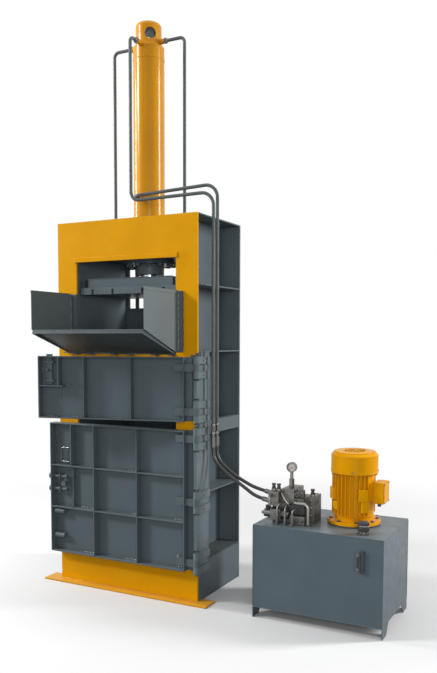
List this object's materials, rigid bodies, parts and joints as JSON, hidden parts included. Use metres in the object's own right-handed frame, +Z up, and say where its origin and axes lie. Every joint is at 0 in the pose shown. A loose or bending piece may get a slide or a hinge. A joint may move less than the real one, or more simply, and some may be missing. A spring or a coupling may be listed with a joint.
{
  "type": "vertical hydraulic recycling baler",
  "caption": "Vertical baler: a tall frame with a top cylinder and ram, ribbed doors and a feed hopper, driven by a separate oil tank with motor, pump and valves.",
  "frame": {"origin": "on the floor, in the middle of the front plate's front face", "axes": "+Z up, +Y from the front plate to the rear wall, +X to the power unit"},
  "size_m": [3.074, 1.338, 4.868],
  "materials": {
    "yellow_paint": "semi-gloss enamel",
    "grey_paint": "semi-gloss enamel",
    "dark_paint": "matt enamel in shade",
    "tank_paint": "semi-gloss enamel",
    "motor_paint": "semi-gloss enamel",
    "pipe_paint": "semi-gloss enamel",
    "bare_steel": "machined, oiled",
    "zinc": "zinc plated",
    "fitting_steel": "dull plated",
    "chrome_rod": "polished hard chrome",
    "cast_iron": "oiled cast iron",
    "rubber_hose": "smooth black cover",
    "black_plastic": "moulded",
    "red_plastic": "moulded"
  },
  "bodies": {
    "frame": {"front_plate": "yellow_paint", "foot_strip": "yellow_paint", "side_walls": "grey_paint", "rear_wall": "grey_paint", "top_plate": "grey_paint", "head_plate": "dark_paint", "base_floor": "dark_paint", "base_skirts": "grey_paint", "side_ribs": "grey_paint", "corner_columns": "grey_paint", "hinge_bar": "grey_paint", "hinge_pins": "grey_paint", "bolt_keepers": "grey_paint", "hopper_hinges": "grey_paint", "hopper_hinge_pins": "bare_steel", "cylinder_barrel": "yellow_paint", "cylinder_cap": "yellow_paint", "cylinder_gland": "grey_paint", "head_pipe": "pipe_paint", "rod_pipe": "pipe_paint", "side_pipes": "pipe_paint", "pipe_unions": "fitting_steel", "hose_ends": "fitting_steel", "pressure_hose": "rubber_hose", "return_hose": "rubber_hose", "oil_tank": "tank_paint", "tank_lid": "tank_paint", "motor_body": "motor_paint", "motor_cowl": "motor_paint", "terminal_box": "motor_paint", "pump": "cast_iron", "level_gauge": "black_plastic", "manifold_block": "bare_steel", "solenoid_valves": "cast_iron", "cartridge_valves": "zinc", "pressure_gauge": "zinc", "return_tube": "zinc"},
    "ram": {"piston": "bare_steel", "piston_rod": "chrome_rod", "rod_flange": "grey_paint", "platen_plate": "grey_paint", "platen_box": "grey_paint", "guide_shoes": "dark_paint"},
    "upper_door": {"upper_door_skin": "grey_paint", "upper_door_ribs": "grey_paint", "upper_door_straps": "grey_paint"},
    "upper_bolt": {"upper_door_bolt": "grey_paint"},
    "lower_door": {"lower_door_skin": "grey_paint", "lower_door_ribs": "grey_paint", "lower_door_straps": "grey_paint"},
    "lower_bolts": {"lower_door_bolts": "grey_paint"},
    "tray": {"feed_tray": "grey_paint"},
    "left_cheek_leaf": {"left_cheek": "grey_paint"},
    "right_cheek_leaf": {"right_cheek": "grey_paint"},
    "rotor": {"motor_rotor": "bare_steel"},
    "cap": {"filler_cap": "black_plastic"},
    "needle": {"gauge_needle": "red_plastic"},
    "left_knob": {"relief_knob_left": "black_plastic"},
    "right_knob": {"relief_knob_right": "black_plastic"},
    "side_knob": {"needle_valve_knob": "black_plastic"}
  },
  "joints": [
    {"name": "ram_slide", "type": "slide", "parent": "frame", "child": "ram", "axis": [0, 0, -1], "range_m": [0, 1.4]},
    {"name": "upper_door_swing", "type": "hinge", "parent": "frame", "child": "upper_door", "pos_m": [0.722, -0.055, 0], "axis": [0, 0, 1], "range_deg": [-13, 97]},
    {"name": "upper_bolt_lift", "type": "slide", "parent": "upper_door", "child": "upper_bolt", "axis": [0, 0, 1], "range_m": [0, 0.03]},
    {"name": "lower_door_swing", "type": "hinge", "parent": "frame", "child": "lower_door", "pos_m": [0.722, -0.055, 0], "axis": [0, 0, 1], "range_deg": [0, 110]},
    {"name": "lower_bolts_slide", "type": "slide", "parent": "lower_door", "child": "lower_bolts", "axis": [-1, 0, 0], "range_m": [0, 0.03]},
    {"name": "tray_fold", "type": "hinge", "parent": "frame", "child": "tray", "pos_m": [0, -0.055, 2.04], "axis": [-1, 0, 0], "range_deg": [0, 69]},
    {"name": "left_cheek_fold", "type": "hinge", "parent": "frame", "child": "left_cheek_leaf", "pos_m": [-0.54, -0.03, 2.3], "axis": [0, 0, 1], "range_deg": [0, 90]},
    {"name": "right_cheek_fold", "type": "hinge", "parent": "frame", "child": "right_cheek_leaf", "pos_m": [0.54, -0.03, 2.3], "axis": [0, 0, -1], "range_deg": [0, 90]},
    {"name": "motor_spin", "type": "hinge", "parent": "frame", "child": "rotor", "pos_m": [1.899, 0.36, 1], "axis": [0, 0, 1], "continuous": true},
    {"name": "filler_cap_turn", "type": "hinge", "parent": "frame", "child": "cap", "pos_m": [2.07, 0.04, 0.78], "axis": [0, 0, 1], "range_deg": [0, 90]},
    {"name": "needle_swing", "type": "hinge", "parent": "frame", "child": "needle", "pos_m": [1.44, 0.193, 1.154], "axis": [0, 1, 0], "range_deg": [0, 270]},
    {"name": "left_knob_turn", "type": "hinge", "parent": "frame", "child": "left_knob", "pos_m": [1.322, 0.12, 1], "axis": [0, 0, 1], "range_deg": [-180, 180]},
    {"name": "right_knob_turn", "type": "hinge", "parent": "frame", "child": "right_knob", "pos_m": [1.364, 0.12, 1], "axis": [0, 0, 1], "range_deg": [-180, 180]},
    {"name": "side_knob_turn", "type": "hinge", "parent": "frame", "child": "side_knob", "pos_m": [1.614, 0.205, 0.97], "axis": [0, 0, 1], "range_deg": [-180, 180]}
  ]
}
